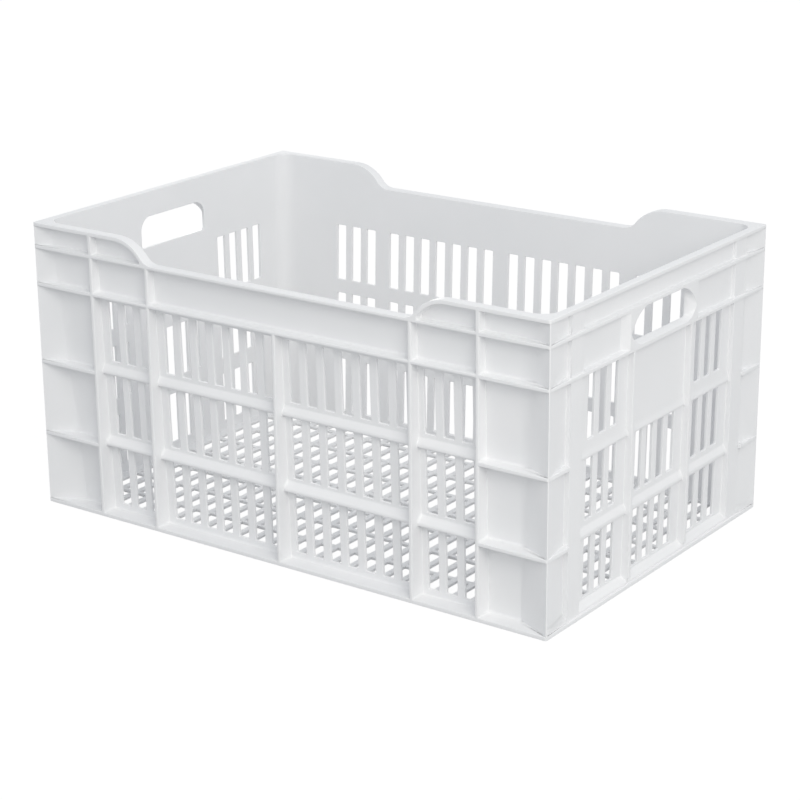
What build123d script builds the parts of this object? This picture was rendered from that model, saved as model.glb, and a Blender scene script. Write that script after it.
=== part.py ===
"""Ventilated stacking crate: a drafted, slotted skin stiffened outside by a frame of ribs.

Millimetres. The origin is the centre of the footprint on the floor, +X runs along the long
walls to the right end, -Y is the front long wall, +Z is up. Every member of the moulding is
its own solid and meets its neighbours face to face.
"""

import os
from math import acos, cos, sin, sqrt

from build123d import *

# Outside of the frame of ribs
LENGTH = 600.0
WIDTH = 394.0
HEIGHT = 294.0
OUTER_CORNER_R = 2.0

# Skin: how far its outer face lies behind the outside planes, at the top and at the foot
SKIN = 3.0
LONG_RECESS_TOP = 8.0
LONG_RECESS_FOOT = 17.5
END_RECESS_TOP = 5.5
END_RECESS_FOOT = 8.5
SKIN_CORNER_R = 20.0

# Corner members: how far each reaches along the long wall and along the end wall
CORNER_LONG = 38.0
CORNER_END = 41.0

# Horizontal ribs: thickness, and each top face's drop below the crate's top or height above its foot
RIM = 4.0
RIB = 3.6
BASE = 4.0
END_BASE = 9.5
RAIL_DROP = 22.7
UPPER_DROP = 61.2
MIDDLE_TOP = 152.6
LOWER_TOP = 77.0
LONG_SETBACK = 8.4
END_SETBACK = 4.5

# Upright ribs: thickness, and distances from the middle of the wall
UPRIGHT = 4.0
LONG_MIDDLE_X = 0.0
LONG_INNER_X = 154.0
LONG_OUTER_X = 226.0
END_INNER_Y = 53.0

# Posts of the end walls: broad flat uprights between the slots and the corner pockets
POCKET = 37.5
POST = 20.8
LEFT_REAR_POST = 12.5
POST_SETBACK = 2.0

# Raised shoulders of the long walls: the rim sweeps down to the rail in two arcs
SHOULDER_X = 193.0
SHOULDER_ROUND_R = 42.0
SHOULDER_HOLLOW_R = 17.0

# Corner gussets: upright wedges whose slanting faces close the ends of the long-wall pockets;
# the slant is the run along the wall for each millimetre of depth
GUSSET_SLANT = 2.1
GUSSET_TOE = 7.0

# Slots: rows from the top by the land above the member below and the land under the rib above,
# columns by first centre, pitch and count
LONG_LIFTS = (9.9, 9.0, 10.5)
LONG_DROPS = (4.2, 2.0, 2.4)
END_LIFTS = (12.0, 11.4, 13.5)
END_DROPS = (2.6, 2.0, 3.2)
LONG_SLOT = 11.8
LONG_PITCH = 20.35
LONG_WIDE_FIRST = 15.1
LONG_WIDE_COUNT = 7
LONG_NARROW_FIRST = 168.2
LONG_NARROW_PITCH = 20.1
LONG_NARROW_COUNT = 3
END_SLOT = 11.5
END_PITCH = 20.0
END_MIDDLE_FIRST = 10.0
END_MIDDLE_COUNT = 2
END_SIDE_FIRST = 77.0
END_SIDE_COUNT = 3
LEFT_FRONT_FIRST = 84.0
LEFT_FRONT_COUNT = 3
LEFT_REAR_FIRST = 75.8
LEFT_REAR_COUNT = 4

# Hand-hole in each end wall, between the upper rib and the rail: where it passes the skin
GRIP_RISE = 2.6
GRIP_FOOT = 47.5
GRIP_HALF = 50.0
GRIP_WAIST = (5.2, 20.2)
GRIP_TOP = 38.0
GRIP_BULGES = (0.7, 3.3)

# Its flared mouth at the outside plane, and the surround that carries the flare
MOUTH_RISE = 0.6
MOUTH_FOOT = 43.0
MOUTH_HALF = 59.5
MOUTH_WAIST = (12.2, 14.7)
MOUTH_TOP = 34.0
MOUTH_BULGES = (2.0, 3.6)
SURROUND_FRONT = 62.0
SURROUND_ROOT = 74.0

# Floor grid: hole and pitch, and the least land left between the holes' cells and the outside
FLOOR = 3.0
FLOOR_HOLE_X = 13.4
FLOOR_HOLE_Y = 39.0
FLOOR_PITCH_X = 20.0
FLOOR_PITCH_Y = 44.0
FLOOR_LAND_X = 14.0
FLOOR_LAND_Y = 20.0

# Construction length that passes any wall
REACH = 1000.0

RIM_UNDER = HEIGHT - RIM
RAIL_TOP = HEIGHT - RAIL_DROP
RAIL_UNDER = RAIL_TOP - RIB
UPPER_TOP = HEIGHT - UPPER_DROP
UPPER_UNDER = UPPER_TOP - RIB
MIDDLE_UNDER = MIDDLE_TOP - RIB
LOWER_UNDER = LOWER_TOP - RIB
END_X = LENGTH / 2
LONG_Y = WIDTH / 2
CORNER_X = END_X - CORNER_LONG
CORNER_Y = LONG_Y - CORNER_END
POST_OUTER_Y = LONG_Y - POCKET
POST_INNER_Y = POST_OUTER_Y - POST
LEFT_REAR_POST_Y = POST_OUTER_Y - LEFT_REAR_POST
FLOOR_COLUMNS = int((LENGTH - 2 * FLOOR_LAND_X) / FLOOR_PITCH_X)
FLOOR_ROWS = int((WIDTH - 2 * FLOOR_LAND_Y) / FLOOR_PITCH_Y)
MOUTH_ROOT_X = END_X - END_RECESS_TOP - (END_RECESS_FOOT - END_RECESS_TOP) * (1.0 - RAIL_UNDER / HEIGHT)

pieces = {}


def block(x0, x1, y0, y1, z0, z1):
    """A box between two opposite corners."""
    middle = ((x0 + x1) / 2, (y0 + y1) / 2, (z0 + z1) / 2)
    return Pos(*middle) * Box(x1 - x0, y1 - y0, z1 - z0)


def prism(points, z0, z1):
    """A vertical prism over a plan outline."""
    return Pos(0, 0, z0) * extrude(Polygon(*points, align=None), amount=z1 - z0, dir=(0, 0, 1))


def slot_rows(lifts, drops):
    """Foot and top of each row of slots, from the top row down."""
    members = ((MIDDLE_TOP, UPPER_UNDER), (LOWER_TOP, MIDDLE_UNDER), (0.0, LOWER_UNDER))
    return [(low + lift, high - drop) for (low, high), lift, drop in zip(members, lifts, drops)]


def near_vertical(shape):
    """The slanting or upright corner edges of a block."""
    return [e for e in shape.edges() if abs(e.tangent_at(0.5).Z) > 0.9]


def drafted_core(inset, radius):
    """The space inside the skin's outer face, moved in by inset, with rounded corners."""
    profiles = []
    for half, top, foot in (
        (LONG_Y, LONG_RECESS_TOP, LONG_RECESS_FOOT),
        (END_X, END_RECESS_TOP, END_RECESS_FOOT),
    ):
        lean = (foot - top) * SKIN_CORNER_R / HEIGHT
        low = half - foot - inset - lean
        high = half - top - inset + lean
        z_low = -SKIN_CORNER_R
        z_high = HEIGHT + SKIN_CORNER_R
        profiles.append(Polygon((-low, z_low), (low, z_low), (high, z_high), (-high, z_high), align=None))
    along_x = extrude(Plane.YZ * profiles[0], amount=REACH, both=True)
    along_y = extrude(Plane.XZ * profiles[1], amount=REACH, both=True)
    core = along_x & along_y
    return fillet(near_vertical(core), radius)


def front_sheet(face):
    """A wall-elevation outline (X, Z) carried from the middle of the crate past the front."""
    return extrude(Plane.XZ * face, amount=REACH)


def store(name, *shapes):
    pieces[name] = [solid for shape in shapes for solid in shape.solids()]


def store_mirrored(name, source, plane):
    pieces[name] = [mirror(solid, about=plane) for solid in pieces[source]]


# The skin ring, and the ring of space outside it in which every rib stands
core = drafted_core(0.0, SKIN_CORNER_R)
hollow = drafted_core(SKIN, SKIN_CORNER_R - SKIN)
envelope = block(-END_X, END_X, -LONG_Y, LONG_Y, 0.0, HEIGHT)
envelope = fillet(near_vertical(envelope), OUTER_CORNER_R)
skin = (core - hollow) & block(-END_X, END_X, -LONG_Y, LONG_Y, 0.0, HEIGHT)
ring = envelope - core


def ring_front(x0, x1, z0, z1, setback=0.0):
    """Rib material of the front wall between two X positions and two heights."""
    return ring & block(x0, x1, -LONG_Y + setback, 0.0, z0, z1)


def ring_right(y0, y1, z0, z1, setback=0.0):
    """Rib material of the right end wall between two Y positions and two heights."""
    return ring & block(0.0, END_X - setback, y0, y1, z0, z1) & end_zone


def upright_front(x, z0, z1):
    return ring_front(x - UPRIGHT / 2, x + UPRIGHT / 2, z0, z1)


def upright_right(y, z0, z1):
    return ring_right(y - UPRIGHT / 2, y + UPRIGHT / 2, z0, z1)


# Plan outlines at the front right corner: the gusset, the pocket in front of it, the end wall's share
gusset_tip = (END_X, -LONG_Y)
gusset_toe = (END_X - GUSSET_TOE, -POST_OUTER_Y)
gusset_root = (CORNER_X, -LONG_Y + CORNER_LONG / GUSSET_SLANT)
gusset_outline = (gusset_tip, gusset_toe, (CORNER_X, -POST_OUTER_Y), gusset_root)
pocket_outline = ((CORNER_X, -LONG_Y), gusset_tip, gusset_root)
end_outline = (
    gusset_tip,
    gusset_toe,
    (0.0, -POST_OUTER_Y),
    (0.0, POST_OUTER_Y),
    (gusset_toe[0], POST_OUTER_Y),
    (END_X, LONG_Y),
    (REACH, LONG_Y),
    (REACH, -LONG_Y),
)
end_zone = prism(end_outline, 0.0, HEIGHT)

# Floor: a flat grid that fills the foot of the skin
hole_wires = [
    Wire.make_rect(FLOOR_HOLE_X, FLOOR_HOLE_Y, Plane((spot.position.X, spot.position.Y, 0.0)))
    for spot in GridLocations(FLOOR_PITCH_X, FLOOR_PITCH_Y, FLOOR_COLUMNS, FLOOR_ROWS)
]
floor_face = Face(Wire.make_rect(LENGTH, WIDTH), hole_wires)
store("floor_grid", extrude(floor_face, amount=FLOOR, dir=(0, 0, 1)) & hollow)

# Shoulder curve of the long walls, from the rail up to the full-height rim
turn_cos = 1.0 - (HEIGHT - RAIL_TOP) / (SHOULDER_ROUND_R + SHOULDER_HOLLOW_R)
turn_sin = sqrt(1.0 - turn_cos**2)
turn = acos(turn_cos)
dip_x = SHOULDER_X - (SHOULDER_ROUND_R + SHOULDER_HOLLOW_R) * turn_sin
round_centre = (SHOULDER_X, HEIGHT - SHOULDER_ROUND_R)
hollow_centre = (dip_x, RAIL_TOP + SHOULDER_HOLLOW_R)
root_cos = SHOULDER_HOLLOW_R / (SHOULDER_HOLLOW_R + RIM)
root_turn = acos(root_cos)
root_x = dip_x + (SHOULDER_HOLLOW_R + RIM) * sin(root_turn)


def on_round(radius, angle):
    """A point of the shoulder's round, at an angle back from its top."""
    return (round_centre[0] - radius * sin(angle), round_centre[1] + radius * cos(angle))


def on_hollow(radius, angle):
    """A point of the shoulder's hollow, at an angle on from its bottom."""
    return (hollow_centre[0] + radius * sin(angle), hollow_centre[1] - radius * cos(angle))


def rim_curve(drop, start):
    """The shoulder's line, drop below the rim's top face, from the rail up to the corner."""
    outer = SHOULDER_ROUND_R - drop
    inner = SHOULDER_HOLLOW_R + drop
    return [
        ThreePointArc(
            on_hollow(inner, start), on_hollow(inner, (start + turn) / 2), on_hollow(inner, turn)
        ),
        ThreePointArc(on_round(outer, turn), on_round(outer, turn / 2), on_round(outer, 0.0)),
        Line((SHOULDER_X, HEIGHT - drop), (CORNER_X, HEIGHT - drop)),
    ]


shoulder_foot = [
    Line((root_x, RAIL_TOP), (root_x, RAIL_UNDER)),
    Line((root_x, RAIL_UNDER), (dip_x, RAIL_UNDER)),
    Line((dip_x, RAIL_UNDER), (dip_x, RAIL_TOP)),
]
shoulder_face = make_face(
    rim_curve(0.0, 0.0)
    + [
        Line((CORNER_X, HEIGHT), (CORNER_X, RAIL_TOP)),
        Line((CORNER_X, RAIL_TOP), (root_x, RAIL_TOP)),
    ]
    + shoulder_foot
)
rim_face = make_face(
    rim_curve(0.0, 0.0)
    + [Line((CORNER_X, HEIGHT), (CORNER_X, RIM_UNDER))]
    + rim_curve(RIM, root_turn)
    + shoulder_foot
)
right_shoulder = skin & front_sheet(shoulder_face)
right_rim = ring & front_sheet(rim_face)

# Front long wall
slots = []
for low, high in slot_rows(LONG_LIFTS, LONG_DROPS):
    for side in (-1.0, 1.0):
        centres = [LONG_WIDE_FIRST + LONG_PITCH * k for k in range(LONG_WIDE_COUNT)]
        centres += [LONG_NARROW_FIRST + LONG_NARROW_PITCH * k for k in range(LONG_NARROW_COUNT)]
        for x in centres:
            slots.append(block(side * x - LONG_SLOT / 2, side * x + LONG_SLOT / 2, -LONG_Y, 0.0, low, high))
front_panel = skin & block(-CORNER_X, CORNER_X, -LONG_Y, -CORNER_Y, 0.0, RAIL_TOP)
for side in (-1.0, 1.0):
    x0, x1 = sorted((side * dip_x, side * root_x))
    slots.append(block(x0, x1, -LONG_Y, 0.0, RAIL_UNDER, RAIL_TOP))
store("front_wall_panel", front_panel - slots)
store("front_shoulder_panels", mirror(right_shoulder, about=Plane.YZ), right_shoulder)
store("front_left_shoulder_rim", mirror(right_rim, about=Plane.YZ))
store("front_right_shoulder_rim", right_rim)
store(
    "front_mid_rail",
    ring_front(-CORNER_X, -root_x, RAIL_UNDER, RAIL_TOP),
    ring_front(-dip_x, dip_x, RAIL_UNDER, RAIL_TOP),
    ring_front(root_x, CORNER_X, RAIL_UNDER, RAIL_TOP),
)
store("front_upper_rib", ring_front(-CORNER_X, CORNER_X, UPPER_UNDER, UPPER_TOP))
store("front_base_rib", ring_front(-CORNER_X, CORNER_X, 0.0, BASE))

upright_places = [-LONG_OUTER_X, -LONG_INNER_X, LONG_MIDDLE_X, LONG_INNER_X, LONG_OUTER_X]
for name, top in (("front_middle_ribs", MIDDLE_TOP), ("front_lower_ribs", LOWER_TOP)):
    bars = [ring_front(-CORNER_X, upright_places[0] - UPRIGHT / 2, top - RIB, top)]
    for left, right in zip(upright_places, upright_places[1:]):
        bars.append(ring_front(left + UPRIGHT / 2, right - UPRIGHT / 2, top - RIB, top, LONG_SETBACK))
    bars.append(ring_front(upright_places[-1] + UPRIGHT / 2, CORNER_X, top - RIB, top))
    store(name, *bars)
store("front_uprights", *[upright_front(x, BASE, UPPER_UNDER) for x in upright_places])
band_places = [-LONG_OUTER_X, -LONG_INNER_X, LONG_INNER_X, LONG_OUTER_X]
store(
    "front_upper_uprights",
    *[upright_front(x, UPPER_TOP, RAIL_UNDER) for x in band_places],
    *[upright_front(x, RAIL_TOP, RIM_UNDER) for x in (-LONG_OUTER_X, LONG_OUTER_X)],
)

# Rear long wall: the front wall's mirror image
for name in [n for n in pieces if n.startswith("front_")]:
    store_mirrored(name.replace("front_", "rear_", 1), name, Plane.XZ)

# Right end wall
def corner_arc(start, end, bulge):
    """An arc whose middle stands bulge off its chord, on the right of the way from start to end."""
    step_y = end[0] - start[0]
    step_z = end[1] - start[1]
    span = sqrt(step_y**2 + step_z**2)
    middle_y = (start[0] + end[0]) / 2 + bulge * step_z / span
    middle_z = (start[1] + end[1]) / 2 - bulge * step_y / span
    return ThreePointArc(start, (middle_y, middle_z), end)


def grip_outline(rise, foot, half, waist, top, bulges):
    """The hand-hole's outline (Y, Z): flat foot, rounded ends, flat top under the rail."""
    low = UPPER_TOP + rise
    waist_low = UPPER_TOP + waist[0]
    waist_high = UPPER_TOP + waist[1]
    corners = ((foot, low), (half, waist_low), (half, waist_high), (top, RAIL_UNDER))
    others = [(-y, z) for y, z in corners]
    return make_face(
        [
            Line(others[0], corners[0]),
            corner_arc(corners[0], corners[1], bulges[0]),
            Line(corners[1], corners[2]),
            corner_arc(corners[2], corners[3], bulges[1]),
            Line(corners[3], others[3]),
            corner_arc(others[3], others[2], bulges[1]),
            Line(others[2], others[1]),
            corner_arc(others[1], others[0], bulges[0]),
        ]
    )


def end_slots(front_first, front_count, rear_first, rear_count):
    """Slot cutters of the right end wall: a column towards the front, one to the rear, one between."""
    cutters = []
    for low, high in slot_rows(END_LIFTS, END_DROPS):
        centres = [-front_first - END_PITCH * k for k in range(front_count)]
        centres += [rear_first + END_PITCH * k for k in range(rear_count)]
        if low < MIDDLE_TOP:
            inner = [END_MIDDLE_FIRST + END_PITCH * k for k in range(END_MIDDLE_COUNT)]
            centres += inner + [-y for y in inner]
        cutters += [block(0.0, END_X, y - END_SLOT / 2, y + END_SLOT / 2, low, high) for y in centres]
    return cutters


def end_ribs(top, rear_post):
    """One level of ribs of the right end wall: proud beside the corners, set back between the posts."""
    bays = (
        (-POST_INNER_Y, -END_INNER_Y - UPRIGHT / 2),
        (-END_INNER_Y + UPRIGHT / 2, END_INNER_Y - UPRIGHT / 2),
        (END_INNER_Y + UPRIGHT / 2, rear_post),
    )
    bars = [ring_right(-LONG_Y, -POST_INNER_Y, top - RIB, top)]
    bars += [ring_right(near, far, top - RIB, top, END_SETBACK) for near, far in bays]
    return bars + [ring_right(rear_post, LONG_Y, top - RIB, top)]


def end_posts(rear_post):
    """The right end wall's posts; beside the slots the rear one starts at rear_post."""
    levels = (
        (END_BASE, LOWER_UNDER, rear_post),
        (LOWER_TOP, MIDDLE_UNDER, rear_post),
        (MIDDLE_TOP, UPPER_UNDER, rear_post),
        (UPPER_TOP, RAIL_UNDER, POST_INNER_Y),
        (RAIL_TOP, RIM_UNDER, POST_INNER_Y),
    )
    posts = []
    for low, high, rear in levels:
        posts.append(ring_right(-POST_OUTER_Y, -POST_INNER_Y, low, high, POST_SETBACK))
        posts.append(ring_right(rear, POST_OUTER_Y, low, high, POST_SETBACK))
    return posts


throat_face = grip_outline(GRIP_RISE, GRIP_FOOT, GRIP_HALF, GRIP_WAIST, GRIP_TOP, GRIP_BULGES)
mouth_face = grip_outline(MOUTH_RISE, MOUTH_FOOT, MOUTH_HALF, MOUTH_WAIST, MOUTH_TOP, MOUTH_BULGES)
throat = extrude(Plane.YZ * throat_face, amount=MOUTH_ROOT_X)
mouth = loft([Plane.YZ.offset(MOUTH_ROOT_X) * throat_face, Plane.YZ.offset(END_X) * mouth_face], ruled=True)
surround_root_x = END_X - END_RECESS_FOOT
surround_outline = (
    (surround_root_x, -SURROUND_ROOT),
    (END_X, -SURROUND_FRONT),
    (END_X, SURROUND_FRONT),
    (surround_root_x, SURROUND_ROOT),
)
end_skin = skin & block(CORNER_X, END_X, -CORNER_Y, CORNER_Y, 0.0, HEIGHT)
end_lower = end_skin & block(0.0, END_X, -LONG_Y, LONG_Y, 0.0, UPPER_TOP)
right_slots = end_slots(END_SIDE_FIRST, END_SIDE_COUNT, END_SIDE_FIRST, END_SIDE_COUNT)
store("right_end_panel", end_lower - right_slots)
store(
    "right_grip_panel",
    (end_skin & block(0.0, END_X, -LONG_Y, LONG_Y, UPPER_TOP, RAIL_UNDER)) - throat,
)
store("right_header_panel", end_skin & block(0.0, END_X, -LONG_Y, LONG_Y, RAIL_UNDER, HEIGHT))
store("right_grip_surround", (ring & prism(surround_outline, UPPER_TOP, RAIL_UNDER)) - throat - mouth)
store("right_end_rim", ring & block(0.0, END_X, -CORNER_Y, CORNER_Y, RIM_UNDER, HEIGHT))
store("right_grip_lintel", ring_right(-LONG_Y, LONG_Y, RAIL_UNDER, RAIL_TOP))
store("right_grip_sill", ring_right(-LONG_Y, LONG_Y, UPPER_UNDER, UPPER_TOP))
base_flange = ring & block(CORNER_X, END_X, -LONG_Y, LONG_Y, 0.0, BASE)
store("right_base_rib", base_flange + ring_right(-LONG_Y, LONG_Y, BASE, END_BASE, POST_SETBACK))

store("right_middle_ribs", *end_ribs(MIDDLE_TOP, POST_INNER_Y))
store("right_lower_ribs", *end_ribs(LOWER_TOP, POST_INNER_Y))
end_places = (-END_INNER_Y, END_INNER_Y)
store("right_uprights", *[upright_right(y, END_BASE, UPPER_UNDER) for y in end_places])
store("right_posts", *end_posts(POST_INNER_Y))

# Left end wall: the right end's mirror image, but for its outer slots and the post beside four of them
for name in [n for n in pieces if n.startswith("right_")]:
    store_mirrored(name.replace("right_", "left_", 1), name, Plane.YZ)
left_slots = end_slots(LEFT_FRONT_FIRST, LEFT_FRONT_COUNT, LEFT_REAR_FIRST, LEFT_REAR_COUNT)
left_members = {
    "left_end_panel": [end_lower - left_slots],
    "left_middle_ribs": end_ribs(MIDDLE_TOP, LEFT_REAR_POST_Y),
    "left_lower_ribs": end_ribs(LOWER_TOP, LEFT_REAR_POST_Y),
    "left_posts": end_posts(LEFT_REAR_POST_Y),
}
for name, shapes in left_members.items():
    store(name, *[mirror(shape, about=Plane.YZ) for shape in shapes])

# Corners: rounded skin, gusset, and the small webs that carry the ribs round to its edge
corner_box = block(CORNER_X, END_X, -LONG_Y, -CORNER_Y, 0.0, HEIGHT)
web_levels = ((RAIL_UNDER, RAIL_TOP), (UPPER_UNDER, UPPER_TOP))
web_levels += tuple((top - RIB, top) for top in (MIDDLE_TOP, LOWER_TOP))
store("front_right_corner_skin", skin & corner_box)
store("front_right_corner_gusset", ring & prism(gusset_outline, BASE, RIM_UNDER))
store(
    "front_right_corner_webs",
    ring & block(CORNER_X, END_X, -LONG_Y, -CORNER_Y, RIM_UNDER, HEIGHT),
    *[ring & prism(pocket_outline, low, high) for low, high in web_levels],
)
for member in ("corner_skin", "corner_gusset", "corner_webs"):
    store_mirrored(f"front_left_{member}", f"front_right_{member}", Plane.YZ)
    store_mirrored(f"rear_right_{member}", f"front_right_{member}", Plane.XZ)
    store_mirrored(f"rear_left_{member}", f"rear_right_{member}", Plane.YZ)

os.makedirs("parts", exist_ok=True)
for name, solids in pieces.items():
    export_step(solids[0] if len(solids) == 1 else Compound(solids), f"parts/{name}.step")
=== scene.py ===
import bmesh
import bpy
from math import acos, atan2, cos, hypot, radians, sin
from mathutils import Matrix, Vector


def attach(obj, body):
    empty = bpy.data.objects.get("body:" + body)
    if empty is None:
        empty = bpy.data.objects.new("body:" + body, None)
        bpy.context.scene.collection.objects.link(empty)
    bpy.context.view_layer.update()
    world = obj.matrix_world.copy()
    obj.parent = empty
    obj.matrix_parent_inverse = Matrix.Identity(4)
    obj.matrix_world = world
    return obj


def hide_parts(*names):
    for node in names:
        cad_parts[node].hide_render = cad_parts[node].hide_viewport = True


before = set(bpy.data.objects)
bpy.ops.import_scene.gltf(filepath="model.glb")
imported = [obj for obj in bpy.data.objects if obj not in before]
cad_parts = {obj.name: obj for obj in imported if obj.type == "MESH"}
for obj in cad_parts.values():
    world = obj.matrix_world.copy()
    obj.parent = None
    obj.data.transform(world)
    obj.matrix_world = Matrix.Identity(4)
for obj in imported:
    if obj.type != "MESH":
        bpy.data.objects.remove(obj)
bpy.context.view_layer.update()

# The crate's sizes in millimetres, as in its solids; everything placed is turned to metres by MM
MM = 0.001
LENGTH, WIDTH, HEIGHT = 600.0, 394.0, 294.0
END_X, LONG_Y = LENGTH / 2, WIDTH / 2
OUTER_CORNER_R = 2.0
SKIN, SKIN_CORNER_R = 3.0, 20.0
LONG_RECESS_FOOT, LONG_RECESS_TOP = 17.5, 8.0
END_RECESS_FOOT, END_RECESS_TOP = 8.5, 5.5

# Where the shell is cut into walls, ends and corners
CORNER_X, CORNER_Y = 262.0, 156.0

# Ribs by their underside and top, and how far some faces stand back from the outside
BASE, END_BASE, RIM = 4.0, 9.5, 4.0
LOWER_UNDER, LOWER_TOP = 73.4, 77.0
MIDDLE_UNDER, MIDDLE_TOP = 149.0, 152.6
UPPER_UNDER, UPPER_TOP = 229.2, 232.8
RAIL_UNDER, RAIL_TOP = 267.7, 271.3
RIM_UNDER = HEIGHT - RIM
LONG_SETBACK, END_SETBACK, POST_SETBACK = 8.4, 4.5, 2.0

# The tops of these ribs rise this much, between uprights, from the rib's front to the skin
SLOPED_RIBS, RIB_RISE = (LOWER_TOP, MIDDLE_TOP), 6.0

# Uprights of a long wall (from the middle out), uprights and posts of an end wall; a post's cut laps its sides
# by POST_LAP
HALF_UPRIGHT = 2.0
LONG_MIDDLE_X, LONG_INNER_X, LONG_OUTER_X = 0.0, 154.0, 226.0
END_INNER_Y = 53.0
POST_INNER_Y, POST_OUTER_Y = 138.7, 159.5
LEFT_REAR_POST_Y = 147.0
POST_LAP = 1.0

# Bays between the ribs by foot and top, from the base up, and the two bands over them
BAYS = ((BASE, LOWER_UNDER), (LOWER_TOP, MIDDLE_UNDER), (MIDDLE_TOP, UPPER_UNDER))
END_BAYS = ((END_BASE, LOWER_UNDER),) + BAYS[1:]
LOW_BAND, HIGH_BAND = (UPPER_TOP, RAIL_UNDER), (RAIL_TOP, RIM_UNDER)
BANDS = (LOW_BAND, HIGH_BAND)

# Columns between uprights: right half of a long wall (X), middle of an end (Y), sides of both ends (the end,
# and from Y to Y)
MIDDLE_COLUMN = (LONG_MIDDLE_X + HALF_UPRIGHT, LONG_INNER_X - HALF_UPRIGHT)
OUTER_COLUMN = (LONG_INNER_X + HALF_UPRIGHT, LONG_OUTER_X - HALF_UPRIGHT)
END_COLUMN = (HALF_UPRIGHT - END_INNER_Y, END_INNER_Y - HALF_UPRIGHT)
SIDE_START = END_INNER_Y + HALF_UPRIGHT
END_SIDE_COLUMNS = (
    (1, -POST_INNER_Y, -SIDE_START), (1, SIDE_START, POST_INNER_Y),
    (-1, -POST_INNER_Y, -SIDE_START), (-1, SIDE_START, LEFT_REAR_POST_Y))

# Shoulder line of the long walls: a hollow from the rail, then a round up to the rim. The pocket under it
# starts SWEEP_START over the rail
SHOULDER_X, SHOULDER_ROUND_R, SHOULDER_HOLLOW_R = 193.0, 42.0, 17.0
SWEEP_TURN = acos(1 - (HEIGHT - RAIL_TOP) / (SHOULDER_ROUND_R + SHOULDER_HOLLOW_R))
DIP_X = SHOULDER_X - (SHOULDER_ROUND_R + SHOULDER_HOLLOW_R) * sin(SWEEP_TURN)
SWEEP_START = 2.5

# Corner gussets: face on the end from tip to foot, its width, how far cuts pass its tip (a share of it), and
# run of the slanting face for each mm of depth. Above SKIN_PROUD_Z the end's skin stands in front of the foot
GUSSET_FACE = ((END_X, -LONG_Y), (END_X - 7.0, -POST_OUTER_Y))
GUSSET_WIDTH = LONG_Y - POST_OUTER_Y
PAST_TIP = -0.2
GUSSET_SLANT = 2.1
SKIN_PROUD_Z = 150.0

# Slope (X, Z) at the foot of the end bays, and its lip in the corner pockets
END_SILL = ((END_X, 4.2), (END_X - END_RECESS_FOOT, 11.4))
SILL_LIP = 0.4

# Slots: rows by foot and top, columns by their middle, half widths. The left end's differ from the right's,
# and the rear wall's right-hand columns lie a little further right
LONG_SLOT_ROWS = ((162.5, 223.8), (86.0, 147.0), (10.5, 71.0))
RIGHT_SLOT_ROWS = ((164.6, 226.6), (88.4, 147.0), (13.5, 70.2))
LEFT_SLOT_ROWS = ((161.0, 222.2), (85.4, 142.2), (13.5, 67.2))
LONG_SLOTS = [15.1 + 20.35 * k for k in range(7)] + [168.2 + 20.1 * k for k in range(3)]
REAR_RIGHT_SHIFT = 1.2
RIGHT_MIDDLE_SLOTS = (-30.0, -10.0, 10.0, 30.0)
LEFT_MIDDLE_SLOTS = (-32.6, -12.6, 7.4, 27.4)
RIGHT_SIDE_SLOTS = (-117.0, -97.0, -77.0, 77.0, 97.0, 117.0)
LEFT_SIDE_SLOTS = (-124.0, -104.0, -84.0, 75.8, 95.8, 115.8, 135.8)
HALF_LONG_SLOT, HALF_RIGHT_SLOT, HALF_LEFT_SLOT = 5.9, 5.75, 6.1

# Hand-hole outlines: rise of the foot over the sill, half widths at the foot and the waist, the waist's two
# heights, half width at the top, bulges of the arcs below and above the waist. All of a hand-hole lies within
# GRIP_REACH of the middle, and the flank of its surround runs from root to lip
THROAT = (2.6, 47.5, 50.0, (5.2, 20.2), 38.0, (0.7, 3.3))
RIGHT_MOUTH = (0.6, 43.0, 59.5, (12.2, 14.7), 34.0, (2.0, 3.6))
LEFT_MOUTH = (0.6, 56.0, 59.5, (4.5, 14.7), 34.0, (0.7, 3.6))
GRIP_REACH = 61.0
SURROUND_ROOT_Y, SURROUND_LIP_Y = 74.0, 62.0

# The floor's holes lie inside these; their rims are broken by this much
HOLES_X, HOLES_Y = 280.0, 174.0
HOLE_RIM_R = 0.5

# How far a cutter starts outside the crate, and where it ends inside when it goes right through
CLEAR = 8.0
INSIDE_X, INSIDE_Y = 270.0, 160.0

# Edge radii that the mould gives: crests, then hollows where two faces meet, and the widest any may have. The
# crests of the long walls' ribs end at LONG_CREST_X
SHARP, FINE_R = 0.0, 0.4
SLOT_RIM_R, LONG_CREST_R, CREST_R = 0.6, 1.4, 0.8
SLOT_CORNER_R, RIB_ROOT_R, BAND_ROOT_R = 1.2, 2.6, 1.2
END_ROOT_R, UNDER_ROOT_R, SIDE_ROOT_R = 0.9, 0.8, 1.0
WIDEST_R = 3.0
LONG_CREST_X = 242.0

# Distances within which an edge counts as on a face or in a corner, and shares of a normal that tell how the
# face lies
TOUCH, NEAR, CLOSE, SLANT_REACH, CORNER_REACH = 0.1, 0.5, 1.0, 1.5, 3.0
LEVEL_Z, UPRIGHT_Z, END_ON_X = 0.7, 0.5, 0.9

# Angles in degrees: of an edge that is rounded, of shading that stays smooth, of faces that count as one; gaps
# in mm that merge points and that a cut allows
EDGE_ANGLE, SMOOTH_ANGLE, FLAT_ANGLE = 25.0, 50.0, 0.3
WELD_GAP, CUT_GAP = 0.01, 0.001


def skin_x(z):
    """Where an end wall's skin has its outer face at a height: it leans out towards the top."""
    return END_X - END_RECESS_TOP - (END_RECESS_FOOT - END_RECESS_TOP) * (1 - z / HEIGHT)


def skin_y(z):
    """Where a long wall's skin has its outer face at a height."""
    return LONG_Y - LONG_RECESS_TOP - (LONG_RECESS_FOOT - LONG_RECESS_TOP) * (1 - z / HEIGHT)


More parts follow.
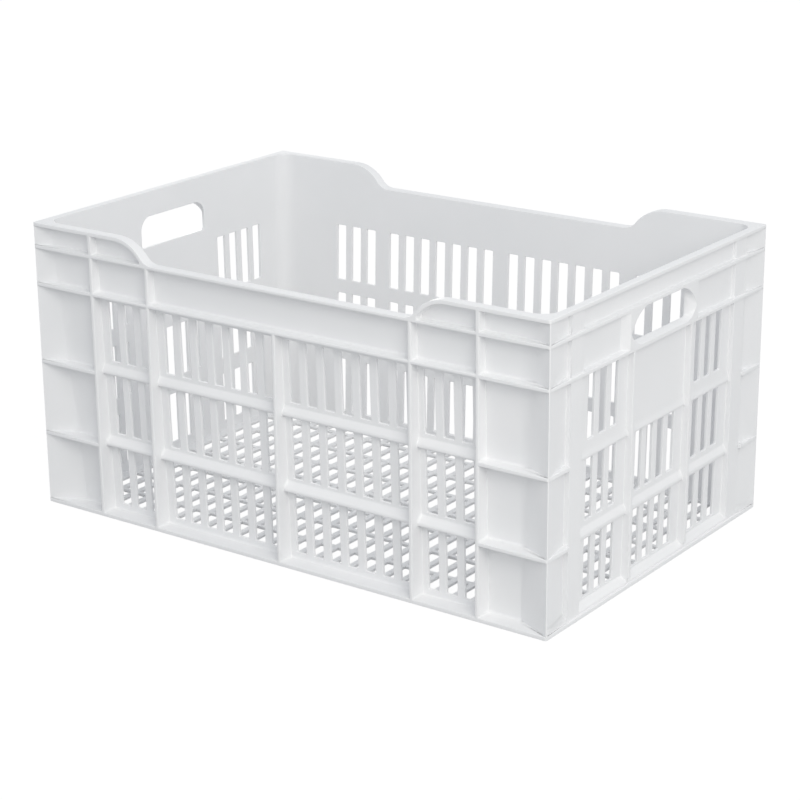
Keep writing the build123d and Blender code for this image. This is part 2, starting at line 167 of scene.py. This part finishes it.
def along(line, share):
    """Point of a line at a share of its length, past its ends below 0 and above 1."""
    (x0, y0), (x1, y1) = line
    return (x0 + (x1 - x0) * share, y0 + (y1 - y0) * share)


def skin_level(z):
    """Height at which a cut's edge meets the skin: on a sloped rib, the head of the slope."""
    return z + RIB_RISE if z in SLOPED_RIBS else z


def rib_slope(inset, z, front, skin):
    """Height of a bay's foot at an inset from the outside: the rib slopes from its front to the skin."""
    return z + RIB_RISE * (inset - front) / (skin - front)


def long_foot(inset, z):
    """Height of a cut in a long wall: one that starts on a sloped rib follows the slope."""
    if z not in SLOPED_RIBS:
        return z
    return rib_slope(inset, z, LONG_SETBACK, LONG_Y - skin_y(skin_level(z)))


def end_foot(inset, z):
    """Height of a cut in an end wall: one that starts on a sloped rib or on the base follows that slope."""
    if z == END_BASE:
        return along(END_SILL, inset / END_RECESS_FOOT)[1]
    if z not in SLOPED_RIBS:
        return z
    return rib_slope(inset, z, END_SETBACK, END_X - skin_x(skin_level(z)))


def take(*pieces):
    """Select these objects alone, the first one active."""
    bpy.ops.object.select_all(action="DESELECT")
    for piece in pieces:
        piece.select_set(True)
    bpy.context.view_layer.objects.active = pieces[0]


def face_outwards(piece):
    """Turn all faces of a closed piece outwards."""
    take(piece)
    bpy.ops.object.mode_set(mode="EDIT")
    bpy.ops.mesh.select_all(action="SELECT")
    bpy.ops.mesh.normals_make_consistent(inside=False)
    bpy.ops.object.mode_set(mode="OBJECT")


def weld(piece):
    """Merge doubled points and clear the lines inside flat faces."""
    take(piece)
    bpy.ops.object.mode_set(mode="EDIT")
    bpy.ops.mesh.select_all(action="SELECT")
    bpy.ops.mesh.remove_doubles(threshold=WELD_GAP * MM)
    bpy.ops.mesh.dissolve_limited(angle_limit=radians(FLAT_ANGLE))
    bpy.ops.object.mode_set(mode="OBJECT")


def drawn_out(*outlines):
    """A solid drawn out through matched outlines: a flat disc pulled to the first, extruded to the next."""
    bpy.ops.object.select_all(action="DESELECT")
    bpy.ops.mesh.primitive_circle_add(vertices=len(outlines[0]), radius=MM, fill_type="NGON")
    piece = bpy.context.object
    for vertex, spot in zip(piece.data.vertices, outlines[0]):
        vertex.co = Vector(spot) * MM
    for here, there in zip(outlines, outlines[1:]):
        bpy.ops.object.mode_set(mode="EDIT")
        bpy.ops.mesh.extrude_region_move()
        bpy.ops.object.mode_set(mode="OBJECT")
        for vertex in piece.data.vertices:
            if vertex.select:
                spot = min(range(len(here)), key=lambda k: (vertex.co - Vector(here[k]) * MM).length)
                vertex.co = Vector(there[spot]) * MM
    face_outwards(piece)
    return piece


def oblong(low, high, foot, top):
    """Outline of an upright oblong on a wall."""
    return [(low, foot), (high, foot), (high, top), (low, top)]


def front_cut(outline, depth=None, side=-1):
    """Cutter of the front wall (side -1) or the rear (1): an outline (X, Z) sunk to the skin or a depth."""
    near, far = [], []
    for x, z in outline:
        back = depth or skin_y(skin_level(z))
        near.append((x, side * (LONG_Y + CLEAR), long_foot(-CLEAR, z)))
        far.append((x, side * back, long_foot(LONG_Y - back, z)))
    return drawn_out(near, far)


def end_cut(outline, depth=None, side=1):
    """Cutter of the right end (side 1) or the left (-1): an outline (Y, Z) sunk to the skin or a depth."""
    near, far = [], []
    for y, z in outline:
        back = depth or skin_x(skin_level(z))
        near.append((side * (END_X + CLEAR), y, end_foot(-CLEAR, z)))
        far.append((side * back, y, end_foot(END_X - back, z)))
    return drawn_out(near, far)


def plan_cut(plan, *levels):
    """Cutter through two or more heights over a plan that may change with height."""
    return drawn_out(*[[(x, y, z) for x, y in plan(z)] for z in levels])


def cutter(pieces, long_mirror=False, end_mirror=False):
    """Join cutters into one tool and mirror it to the rear wall and the left end where asked."""
    take(*pieces)
    bpy.ops.object.join()
    tool = bpy.context.object
    if long_mirror or end_mirror:
        twin = tool.modifiers.new("other_side", "MIRROR")
        twin.use_axis = (end_mirror, long_mirror, False)
        twin.use_mirror_merge = False
        bpy.ops.object.modifier_apply(modifier=twin.name)
    return tool


def round_corners(piece, radius, steps):
    """Round the four upright edges of a block."""
    take(piece)
    bpy.ops.object.mode_set(mode="EDIT")
    bpy.ops.mesh.select_mode(type="EDGE")
    bpy.ops.mesh.select_all(action="DESELECT")
    bpy.ops.object.mode_set(mode="OBJECT")
    for edge in piece.data.edges:
        heights = [piece.data.vertices[k].co.z for k in edge.vertices]
        edge.select = abs(heights[0] - heights[1]) > HEIGHT / 2 * MM
    bpy.ops.object.mode_set(mode="EDIT")
    bpy.ops.mesh.bevel(offset=radius * MM, segments=steps, affect="EDGES")
    bpy.ops.mesh.select_mode(type="VERT")
    bpy.ops.object.mode_set(mode="OBJECT")


def shoulder_line(drop, hollow_steps=7, round_steps=12):
    """Points of the sweep (X, Z), drop below the rim's top, from the rail up."""
    hollow_r, round_r = SHOULDER_HOLLOW_R + drop, SHOULDER_ROUND_R - drop
    start = acos(SHOULDER_HOLLOW_R / hollow_r)
    points = []
    for k in range(hollow_steps + 1):
        angle = start + (SWEEP_TURN - start) * k / hollow_steps
        points.append((DIP_X + hollow_r * sin(angle), RAIL_TOP + SHOULDER_HOLLOW_R - hollow_r * cos(angle)))
    for k in range(1, round_steps + 1):
        angle = SWEEP_TURN * (1 - k / round_steps)
        points.append((SHOULDER_X - round_r * sin(angle), HEIGHT - SHOULDER_ROUND_R + round_r * cos(angle)))
    return points


def slant_at(depth):
    """Point of a gusset's slanting face at a depth behind the front."""
    return (END_X - GUSSET_SLANT * depth, depth - LONG_Y)


def long_pocket_plan(z):
    """Corner pocket of the front wall: outer upright, the gusset's slanting face, the skin."""
    edge = LONG_OUTER_X + HALF_UPRIGHT
    return [(edge, -LONG_Y - CLEAR), slant_at(-CLEAR), slant_at(LONG_Y - skin_y(z)), (edge, -skin_y(z))]


def end_pocket_plan(z):
    """Corner pocket of the right end: gusset's face, then skin where it stands proud, then the post."""
    tip, foot = along(GUSSET_FACE, PAST_TIP), GUSSET_FACE[1]
    outside = [(END_X + CLEAR, -POST_OUTER_Y), (END_X + CLEAR, tip[1])]
    if z < END_SILL[1][1]:
        return [tip, (END_X - SILL_LIP, -POST_OUTER_Y), *outside]
    if z < SKIN_PROUD_Z:
        return [tip, foot, *outside]
    proud = max(skin_x(z), foot[0])
    meet = along(GUSSET_FACE, (END_X - proud) / (END_X - foot[0]))
    return [tip, meet, (proud, -POST_OUTER_Y), *outside]


def surround_plan(z):
    """Pocket beside the hand-hole's surround, whose flank slants from the skin to the outside."""
    root = skin_x(z)
    slant = (SURROUND_ROOT_Y - SURROUND_LIP_Y) / END_RECESS_FOOT
    flank = -SURROUND_ROOT_Y + (root - (END_X - END_RECESS_FOOT)) * slant
    return [
        (root, -POST_INNER_Y), (END_X + CLEAR, -POST_INNER_Y),
        (END_X + CLEAR, -SURROUND_LIP_Y + CLEAR * slant), (root, flank)]


def band_plan(z):
    """The end's base band stands a little behind the outside, between the two gussets, at any height."""
    tip, foot = along(GUSSET_FACE, PAST_TIP), GUSSET_FACE[1]
    knee = along(GUSSET_FACE, POST_SETBACK / (END_X - foot[0]))
    return [
        tip, knee, (knee[0], -knee[1]), (tip[0], -tip[1]),
        (END_X + CLEAR, -tip[1]), (END_X + CLEAR, tip[1])]


def bowed(start, end, bulge, steps):
    """Points of an arc whose middle stands bulge off its chord, right of the way from start to end."""
    step_y, step_z = end[0] - start[0], end[1] - start[1]
    span = hypot(step_y, step_z)
    radius = span ** 2 / (8 * bulge) + bulge / 2
    inward = bulge - radius
    centre_y = (start[0] + end[0]) / 2 + inward * step_z / span
    centre_z = (start[1] + end[1]) / 2 - inward * step_y / span
    first = atan2(start[1] - centre_z, start[0] - centre_y)
    last = atan2(end[1] - centre_z, end[0] - centre_y)
    angles = [first + (last - first) * k / steps for k in range(steps + 1)]
    return [(centre_y + radius * cos(a), centre_z + radius * sin(a)) for a in angles]


def grip_outline(rise, foot, half, waist, top, bulges):
    """The hand-hole's outline (Y, Z): flat foot, rounded ends, flat top under the rail."""
    side = bowed((foot, UPPER_TOP + rise), (half, UPPER_TOP + waist[0]), bulges[0], steps=3)
    side += bowed((half, UPPER_TOP + waist[1]), (top, RAIL_UNDER), bulges[1], steps=5)
    return side + [(-y, z) for y, z in side[::-1]]


def hand_hole(side, mouth):
    """Cutter of an end's hand-hole: straight through the skin, flared to the outside."""
    throat, mouth = grip_outline(*THROAT), grip_outline(*mouth)
    root_x = skin_x(RAIL_UNDER)
    flare = CLEAR / (END_X - root_x)
    past = [(m[0] + (m[0] - t[0]) * flare, m[1] + (m[1] - t[1]) * flare) for m, t in zip(mouth, throat)]
    stations = ((INSIDE_X, throat), (root_x, throat), (END_X, mouth), (END_X + CLEAR, past))
    return drawn_out(*[[(side * x, y, z) for y, z in outline] for x, outline in stations])


def pocket_tools():
    """Tools that sink the bays and bands to the skin, between ribs, uprights, posts and gussets."""
    quarter = [plan_cut(long_pocket_plan, *level) for level in BAYS + BANDS]
    quarter += [plan_cut(end_pocket_plan, *level) for level in BAYS[1:] + BANDS]
    quarter.append(plan_cut(end_pocket_plan, END_SILL[0][1], END_SILL[1][1], LOWER_UNDER))
    quarter += [front_cut(oblong(*column, *bay)) for column in (MIDDLE_COLUMN, OUTER_COLUMN) for bay in BAYS]
    quarter.append(front_cut(oblong(*OUTER_COLUMN, *LOW_BAND)))
    under = [spot for spot in shoulder_line(RIM) if spot[1] > RAIL_TOP + SWEEP_START]
    far_x = OUTER_COLUMN[1]
    quarter.append(front_cut([(under[0][0], RAIL_TOP), (far_x, RAIL_TOP), (far_x, RIM_UNDER)] + under[::-1]))
    quarter.append(plan_cut(surround_plan, *LOW_BAND))
    corners_and_fronts = cutter(quarter, long_mirror=True, end_mirror=True)

    sides = [end_cut(oblong(a, b, *bay), side=side) for side, a, b in END_SIDE_COLUMNS for bay in END_BAYS]
    end_sides = cutter(sides)
    band = front_cut(oblong(-MIDDLE_COLUMN[1], MIDDLE_COLUMN[1], *LOW_BAND))
    long_band = cutter([band], long_mirror=True)
    middles = [end_cut(oblong(*END_COLUMN, *bay)) for bay in END_BAYS]
    middles.append(end_cut(oblong(-POST_INNER_Y, POST_INNER_Y, *HIGH_BAND)))
    end_middles = cutter(middles, end_mirror=True)
    return [corners_and_fronts, end_sides, long_band, end_middles]


def setback_tools():
    """Tools that bring ribs, posts and the ends' base band back from the outside."""
    long_back, end_back = LONG_Y - LONG_SETBACK, END_X - END_SETBACK
    fronts = [front_cut(oblong(*c, BASE, UPPER_UNDER), long_back) for c in (MIDDLE_COLUMN, OUTER_COLUMN)]
    long_ribs = cutter(fronts, long_mirror=True, end_mirror=True)
    sides = [end_cut(oblong(a, b, END_BASE, UPPER_UNDER), end_back, side) for side, a, b in END_SIDE_COLUMNS]
    side_ribs = cutter(sides)
    middle_ribs = cutter([end_cut(oblong(*END_COLUMN, END_BASE, UPPER_UNDER), end_back)], end_mirror=True)
    post = (-POST_OUTER_Y - POST_LAP, POST_LAP - POST_INNER_Y)
    post_fronts = [end_cut(oblong(*post, *level), END_X - POST_SETBACK) for level in END_BAYS + BANDS]
    posts = cutter(post_fronts, long_mirror=True, end_mirror=True)
    base_band = cutter([plan_cut(band_plan, BASE, END_BASE)], end_mirror=True)
    return [long_ribs, side_ribs, middle_ribs, posts, base_band]


def slot_tool():
    """Tool of all slots in the walls' skin; an end's middle slots stop below the hand-hole's blank bay."""
    slots = []
    left_columns = [-x for x in LONG_SLOTS]
    rear_right_columns = [x + REAR_RIGHT_SHIFT for x in LONG_SLOTS]
    for side, columns in ((-1, left_columns + LONG_SLOTS), (1, left_columns + rear_right_columns)):
        for foot, top in LONG_SLOT_ROWS:
            for x in columns:
                outline = oblong(x - HALF_LONG_SLOT, x + HALF_LONG_SLOT, foot, top)
                slots.append(front_cut(outline, INSIDE_Y, side))
    ends = (
        (1, RIGHT_SLOT_ROWS, RIGHT_SIDE_SLOTS, RIGHT_MIDDLE_SLOTS, HALF_RIGHT_SLOT),
        (-1, LEFT_SLOT_ROWS, LEFT_SIDE_SLOTS, LEFT_MIDDLE_SLOTS, HALF_LEFT_SLOT))
    for side, rows, side_columns, middle_columns, half in ends:
        for foot, top in rows:
            for y in side_columns + (middle_columns if top < MIDDLE_TOP else ()):
                slots.append(end_cut(oblong(y - half, y + half, foot, top), INSIDE_X, side))
    return cutter(slots)


def dip_tool():
    """Tool that lowers the long walls between their shoulders."""
    sweep = shoulder_line(0.0) + [(SHOULDER_X, HEIGHT + CLEAR)]
    sweep += [(-x, z) for x, z in sweep[::-1]]
    return drawn_out(*[[(x, y, z) for x, z in sweep] for y in (-LONG_Y - CLEAR, LONG_Y + CLEAR)])


def hollow_tool():
    """Tool of the crate's inside, with drafted walls and rounded corners, open above and below."""
    levels = (-SKIN_CORNER_R, HEIGHT + SKIN_CORNER_R)
    walls = [(skin_x(z) - SKIN, skin_y(z) - SKIN, z) for z in levels]
    hollow = drawn_out(*[[(-x, -y, z), (x, -y, z), (x, y, z), (-x, y, z)] for x, y, z in walls])
    round_corners(hollow, SKIN_CORNER_R - SKIN, steps=8)
    return hollow


def mould_shell():
    """The crate's walls in one piece: a block, pocketed between its ribs, slotted, dipped and hollowed."""
    cuts = pocket_tools() + setback_tools() + [slot_tool(), dip_tool()]
    cuts.append(cutter([hand_hole(1, RIGHT_MOUTH), hand_hole(-1, LEFT_MOUTH)]))
    cuts.append(hollow_tool())

    bpy.ops.object.select_all(action="DESELECT")
    bpy.ops.mesh.primitive_cube_add(size=1.0, location=(0.0, 0.0, HEIGHT / 2 * MM))
    shell = bpy.context.object
    shell.name = "moulded_shell"
    bpy.ops.transform.resize(value=(LENGTH * MM, WIDTH * MM, HEIGHT * MM))
    bpy.ops.object.transform_apply(location=True, rotation=False, scale=True)
    round_corners(shell, OUTER_CORNER_R, steps=3)

    tools = bpy.data.collections.new("cutters")
    bpy.context.scene.collection.children.link(tools)
    for tool in cuts:
        tool.users_collection[0].objects.unlink(tool)
        tools.objects.link(tool)
    take(shell)
    carve = shell.modifiers.new("carve", "BOOLEAN")
    carve.operation = "DIFFERENCE"
    carve.operand_type = "COLLECTION"
    carve.collection = tools
    carve.solver = "EXACT"
    bpy.ops.object.modifier_apply(modifier=carve.name)
    for tool in cuts:
        bpy.data.objects.remove(tool)
    bpy.data.collections.remove(tools)
    weld(shell)
    return shell


def edge_softness(spot, normals, convex):
    """Radius in millimetres that the mould gives an edge, from its place and the faces beside it."""
    x, y, z = abs(spot.x), abs(spot.y), spot.z
    on_end = x > CORNER_X and y < CORNER_Y
    depth = x - skin_x(z) if on_end else y - skin_y(z)
    faces_up = max(normal.z for normal in normals) > LEVEL_Z
    faces_down = min(normal.z for normal in normals) < -LEVEL_Z
    upright = max(abs(normal.z) for normal in normals) < UPRIGHT_Z
    gusset_x = along(GUSSET_FACE, (LONG_Y - y) / GUSSET_WIDTH)[0]
    in_end_pocket = y > POST_OUTER_Y - NEAR and x > gusset_x - CLOSE and z < RIM_UNDER + TOUCH
    on_slant = x > CORNER_X and depth > -NEAR and abs(x - slant_at(LONG_Y - y)[0]) < SLANT_REACH
    if x > CORNER_X and y < GRIP_REACH and UPPER_TOP < z < RAIL_UNDER:
        end_on = max(abs(normal.x) for normal in normals) > END_ON_X
        return FINE_R if convex and end_on else SHARP
    if convex:
        if z < TOUCH and depth < CLOSE:
            return SHARP
        if upright and x > END_X - CORNER_REACH and y > LONG_Y - CORNER_REACH:
            return SHARP
        if -SKIN - TOUCH < depth < TOUCH and z < RAIL_UNDER:
            return SLOT_RIM_R
        if x < LONG_CREST_X and y > CORNER_Y and BASE < z < RAIL_TOP - TOUCH:
            return LONG_CREST_R
        return FINE_R if in_end_pocket else CREST_R
    if in_end_pocket or on_slant:
        return SHARP
    if -SKIN + 2 * TOUCH < depth < -2 * TOUCH:
        return SLOT_CORNER_R
    if faces_up:
        if on_end:
            return FINE_R if z < END_SILL[1][1] + NEAR else END_ROOT_R
        return RIB_ROOT_R if z < RAIL_UNDER else BAND_ROOT_R
    return UNDER_ROOT_R if faces_down else SIDE_ROOT_R


def round_edges(piece, weights, widest, steps):
    """Round the edges of a piece, each by its own share of the widest radius."""
    layer = piece.data.attributes.new("bevel_weight_edge", "FLOAT", "EDGE")
    layer.data.foreach_set("value", weights)
    take(piece)
    rounding = piece.modifiers.new("rounding", "BEVEL")
    rounding.limit_method = "WEIGHT"
    rounding.width = widest * MM
    rounding.segments = steps
    rounding.use_clamp_overlap = False
    bpy.ops.object.modifier_apply(modifier=rounding.name)


def soften(shell):
    """Round every sharp edge of the shell by its own radius."""
    shape = bmesh.new()
    shape.from_mesh(shell.data)
    shape.edges.ensure_lookup_table()
    weights = []
    for edge in shape.edges:
        radius = SHARP
        if edge.calc_face_angle() > radians(EDGE_ANGLE):
            middle = (edge.verts[0].co + edge.verts[1].co) / (2 * MM)
            radius = edge_softness(middle, [face.normal for face in edge.link_faces], edge.is_convex)
        weights.append(radius / WIDEST_R)
    shape.free()
    round_edges(shell, weights, WIDEST_R, steps=2)


def keep_part(shell, name, *planes):
    """A named part of the shell: a copy cut back at each plane (a point in mm, and the side that goes)."""
    part = bpy.data.objects.new(name, shell.data.copy())
    bpy.context.scene.collection.objects.link(part)
    take(part)
    for spot, away in planes:
        bpy.ops.object.mode_set(mode="EDIT")
        bpy.ops.mesh.select_all(action="SELECT")
        bpy.ops.mesh.bisect(
            plane_co=Vector(spot) * MM, plane_no=away, use_fill=True, clear_outer=True,
            threshold=CUT_GAP * MM)
        bpy.ops.object.mode_set(mode="OBJECT")
    return part


def floor_grating():
    """The floor's lattice: the solid's own mesh, with the rims of its holes broken."""
    piece = bpy.data.objects.new("floor_grating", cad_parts["floor_grid"].data.copy())
    bpy.context.scene.collection.objects.link(piece)
    take(piece)
    bpy.ops.mesh.customdata_custom_splitnormals_clear()
    weld(piece)
    weights = []
    for edge in piece.data.edges:
        a, b = (piece.data.vertices[k].co for k in edge.vertices)
        level = abs(a.z - b.z) < TOUCH * MM
        inside = all(abs(end.x) < HOLES_X * MM and abs(end.y) < HOLES_Y * MM for end in (a, b))
        weights.append(1.0 if level and inside else 0.0)
    round_edges(piece, weights, HOLE_RIM_R, steps=1)
    return piece


def finish_faces(piece):
    """Smooth over the rounded edges and keep the flat faces flat."""
    take(piece)
    bpy.ops.object.shade_smooth_by_angle(angle=radians(SMOOTH_ANGLE))
    even = piece.modifiers.new("even_faces", "WEIGHTED_NORMAL")
    even.keep_sharp = True
    bpy.ops.object.modifier_apply(modifier=even.name)


# The shell, cut at its corners: each plane is a point and the direction in which all goes
shell = mould_shell()
soften(shell)
right_line, left_line = (CORNER_X, 0.0, 0.0), (-CORNER_X, 0.0, 0.0)
rear_line, front_line = (0.0, CORNER_Y, 0.0), (0.0, -CORNER_Y, 0.0)
rightwards, leftwards = (1.0, 0.0, 0.0), (-1.0, 0.0, 0.0)
rearwards, frontwards = (0.0, 1.0, 0.0), (0.0, -1.0, 0.0)
between_ends = ((right_line, rightwards), (left_line, leftwards))
between_walls = ((rear_line, rearwards), (front_line, frontwards))
at_right, at_left = (right_line, leftwards), (left_line, rightwards)
at_rear, at_front = (rear_line, frontwards), (front_line, rearwards)
parts = {
    "front": keep_part(shell, "front_wall", *between_ends, at_front),
    "rear": keep_part(shell, "rear_wall", *between_ends, at_rear),
    "left": keep_part(shell, "left_end", at_left, *between_walls),
    "right": keep_part(shell, "right_end", at_right, *between_walls),
    "front_left_corner": keep_part(shell, "front_left_corner", at_left, at_front),
    "front_right_corner": keep_part(shell, "front_right_corner", at_right, at_front),
    "rear_left_corner": keep_part(shell, "rear_left_corner", at_left, at_rear),
    "rear_right_corner": keep_part(shell, "rear_right_corner", at_right, at_rear),
}
bpy.data.objects.remove(shell)
parts["floor"] = floor_grating()
for place, piece in parts.items():
    finish_faces(piece)
    names = [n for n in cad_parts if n.startswith(place + "_")]
    if place in ("front", "rear"):
        names = [n for n in names if "corner" not in n]
    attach(piece, "root")
    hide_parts(*names)


def paint(hex_colour):
    """A paint chip's sRGB hex value as linear RGBA."""
    channels = [int(hex_colour[k:k + 2], 16) / 255 for k in (1, 3, 5)]
    linear = [c / 12.92 if c <= 0.04045 else ((c + 0.055) / 1.055) ** 2.4 for c in channels]
    return (*linear, 1.0)


def add_node(tree, kind, settings=None, inputs=None):
    """Add a node, set its properties, and fill its sockets with values or links."""
    node = tree.nodes.new(kind)
    for name, value in (settings or {}).items():
        setattr(node, name, value)
    for socket, value in (inputs or {}).items():
        if isinstance(value, bpy.types.NodeSocket):
            tree.links.new(value, node.inputs[socket])
        else:
            node.inputs[socket].default_value = value
    return node


# High-density polyethylene, injection moulded in a spark-eroded tool. To the eye: a milky white that drifts
# by a shade over a hand's breadth, a satin gloss that comes and goes in patches where the melt flowed, and a
# dull grain that takes the edge off highlights. The tool's real grit is too fine to show, so it is drawn coarser
CLOUD_SIZE, FLOW_SIZE, GRIT_SIZE, GRIT_DEPTH = 70 * MM, 14 * MM, 0.9 * MM, 0.2 * MM


def moulded_white_hdpe():
    """White high-density polyethylene as it comes out of the mould."""
    material = bpy.data.materials.new("moulded_white_hdpe")
    material.use_nodes = True
    tree = material.node_tree
    tree.nodes.clear()
    place = add_node(tree, "ShaderNodeTexCoord").outputs["Object"]
    cloud = add_node(tree, "ShaderNodeTexNoise", inputs={
        "Vector": place, "Scale": 1 / CLOUD_SIZE, "Detail": 3.0})
    tint = add_node(tree, "ShaderNodeMix", {"data_type": "RGBA"}, {
        0: cloud.outputs["Fac"], 6: paint("#EEEFF0"), 7: paint("#F3F3F4")})
    flow = add_node(tree, "ShaderNodeTexNoise", inputs={
        "Vector": place, "Scale": 1 / FLOW_SIZE, "Detail": 4.0})
    gloss = add_node(tree, "ShaderNodeMapRange", inputs={
        "Value": flow.outputs["Fac"], "To Min": 0.40, "To Max": 0.56})
    grit = add_node(tree, "ShaderNodeTexNoise", inputs={
        "Vector": place, "Scale": 1 / GRIT_SIZE, "Detail": 2.0})
    bump = add_node(tree, "ShaderNodeBump", inputs={
        "Height": grit.outputs["Fac"], "Strength": 0.08, "Distance": GRIT_DEPTH})
    surface = add_node(tree, "ShaderNodeBsdfPrincipled", inputs={
        "Base Color": tint.outputs[2], "Roughness": gloss.outputs["Result"], "IOR": 1.54,
        "Normal": bump.outputs["Normal"]})
    add_node(tree, "ShaderNodeOutputMaterial", inputs={"Surface": surface.outputs["BSDF"]})
    return material


hdpe = moulded_white_hdpe()
for piece in parts.values():
    piece.data.materials.clear()
    piece.data.materials.append(hdpe)


def seen_rays(tree):
    """1 for rays that show the background itself: straight to the camera, mirrored or let through."""
    rays = add_node(tree, "ShaderNodeLightPath")
    mirrored = add_node(tree, "ShaderNodeMath", {"operation": "MAXIMUM"}, {
        0: rays.outputs["Is Camera Ray"], 1: rays.outputs["Is Glossy Ray"]})
    seen = add_node(tree, "ShaderNodeMath", {"operation": "MAXIMUM"}, {
        0: mirrored.outputs[0], 1: rays.outputs["Is Transmission Ray"]})
    return seen.outputs[0]


# Studio: white paper floor that keeps a faint shadow, white surround, three soft boxes
bpy.ops.object.select_all(action="DESELECT")
bpy.ops.mesh.primitive_plane_add(size=24.0)
studio_floor = bpy.context.object
studio_floor.name = "studio_floor"

# Matt white paper: to the eye it is plain white, with the crate's shadow just visible
paper = bpy.data.materials.new("white_paper")
paper.use_nodes = True
tree = paper.node_tree
tree.nodes.clear()
lit = add_node(tree, "ShaderNodeBsdfDiffuse", inputs={"Color": paint("#CACACA")})
faint = add_node(tree, "ShaderNodeBsdfDiffuse", inputs={"Color": paint("#5A5A5A")})
glow = add_node(tree, "ShaderNodeEmission", inputs={"Color": paint("#FFFFFF"), "Strength": 0.93})
shown = add_node(tree, "ShaderNodeAddShader", inputs={0: faint.outputs[0], 1: glow.outputs[0]})
mixed = add_node(tree, "ShaderNodeMixShader", inputs={
    0: seen_rays(tree), 1: lit.outputs[0], 2: shown.outputs[0]})
add_node(tree, "ShaderNodeOutputMaterial", inputs={"Surface": mixed.outputs[0]})
studio_floor.data.materials.append(paper)

world = bpy.data.worlds.new("white_surround")
bpy.context.scene.world = world
world.use_nodes = True
tree = world.node_tree
tree.nodes.clear()
soft = add_node(tree, "ShaderNodeBackground", inputs={"Color": paint("#F8FBFF"), "Strength": 0.70})
white = add_node(tree, "ShaderNodeBackground", inputs={"Color": paint("#FFFFFF"), "Strength": 1.0})
mixed = add_node(tree, "ShaderNodeMixShader", inputs={
    0: seen_rays(tree), 1: soft.outputs[0], 2: white.outputs[0]})
add_node(tree, "ShaderNodeOutputWorld", inputs={"Surface": mixed.outputs[0]})


def softbox(name, place, size, watts):
    """A square soft box with slightly warm lamps that looks at the middle of the crate."""
    bpy.ops.object.select_all(action="DESELECT")
    bpy.ops.object.light_add(type="AREA", location=place)
    lamp = bpy.context.object
    lamp.name = name
    lamp.data.size = size
    lamp.data.energy = watts
    lamp.data.color = paint("#FFFCF6")[:3]
    aim = Vector((0.0, 0.0, 0.12)) - Vector(place)
    lamp.rotation_euler = aim.to_track_quat("-Z", "Y").to_euler()


# A key on the right, a weak one over the opening, and one low behind that lifts the shaded sides
softbox("key_softbox", (2.4, -1.7, 1.9), 1.6, 35.0)
softbox("inside_softbox", (1.0, -1.5, 2.6), 1.2, 7.0)
softbox("rear_softbox", (-2.4, 2.6, 0.2), 0.6, 26.0)
bpy.context.scene.view_settings.view_transform = "Standard"

# Camera: right of the front wall and above it, a long lens, turned a little about its own axis
bpy.ops.object.camera_add()
camera = bpy.context.object
camera.data.sensor_width = 36.0
camera.data.lens = 100.91
camera.data.clip_end = 50.0
eye = Vector((1.248578, -1.724789, 0.832047))
azimuth, elevation, roll = radians(35.865), radians(18.695), radians(-0.467)
back = Vector((sin(azimuth) * cos(elevation), -cos(azimuth) * cos(elevation), sin(elevation)))
level_right = (-back).cross(Vector((0.0, 0.0, 1.0))).normalized()
level_up = level_right.cross(-back)
right = cos(roll) * level_right + sin(roll) * level_up
up = cos(roll) * level_up - sin(roll) * level_right
camera.matrix_world = Matrix((
    (right.x, up.x, back.x, eye.x),
    (right.y, up.y, back.y, eye.y),
    (right.z, up.z, back.z, eye.z),
    (0.0, 0.0, 0.0, 1.0)))
bpy.context.scene.camera = camera
